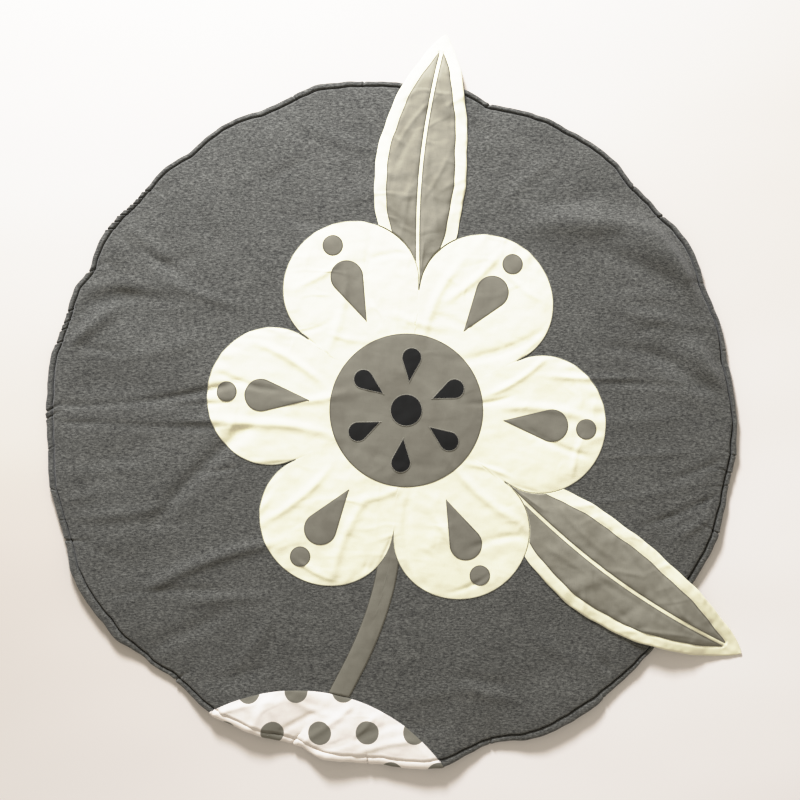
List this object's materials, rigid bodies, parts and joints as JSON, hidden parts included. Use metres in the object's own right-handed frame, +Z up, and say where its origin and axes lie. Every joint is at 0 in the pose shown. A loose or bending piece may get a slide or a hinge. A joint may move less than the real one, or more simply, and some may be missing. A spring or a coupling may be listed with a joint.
{
  "type": "kids rug",
  "caption": "Round padded jersey floor mat for a child's room, with a sewn flower, a stem, a spotted hill and padded leaves that reach past its rim.",
  "frame": {"origin": "on the floor, at the middle of the round mat's underside", "axes": "+Z up out of the mat's face, +Y towards the upper leaf, +X to the right of it seen from above"},
  "size_m": [0.9149, 0.9637, 0.0221],
  "materials": {
    "jersey": "charcoal heather cotton jersey, matte",
    "cream": "cream cotton, matte",
    "white": "cool white cotton with printed taupe spots, matte",
    "taupe": "taupe cotton, matte",
    "black": "black cotton, matte"
  },
  "bodies": {
    "root": {"mat": "jersey", "blossom": "cream", "blossom_centre": "taupe", "seed_button": "black", "petal_drop_1": "taupe", "petal_drop_2": "taupe", "petal_drop_3": "taupe", "petal_drop_4": "taupe", "petal_drop_5": "taupe", "petal_drop_6": "taupe", "petal_dot_1": "taupe", "petal_dot_2": "taupe", "petal_dot_3": "taupe", "petal_dot_4": "taupe", "petal_dot_5": "taupe", "petal_dot_6": "taupe", "seed_1": "black", "seed_2": "black", "seed_3": "black", "seed_4": "black", "seed_5": "black", "seed_6": "black", "stem": "taupe", "hill": "white", "top_leaf": "cream", "top_leaf_inlay_left": "taupe", "top_leaf_inlay_right": "taupe", "side_leaf": "cream", "side_leaf_inlay_left": "taupe", "side_leaf_inlay_right": "taupe"}
  },
  "joints": []
}
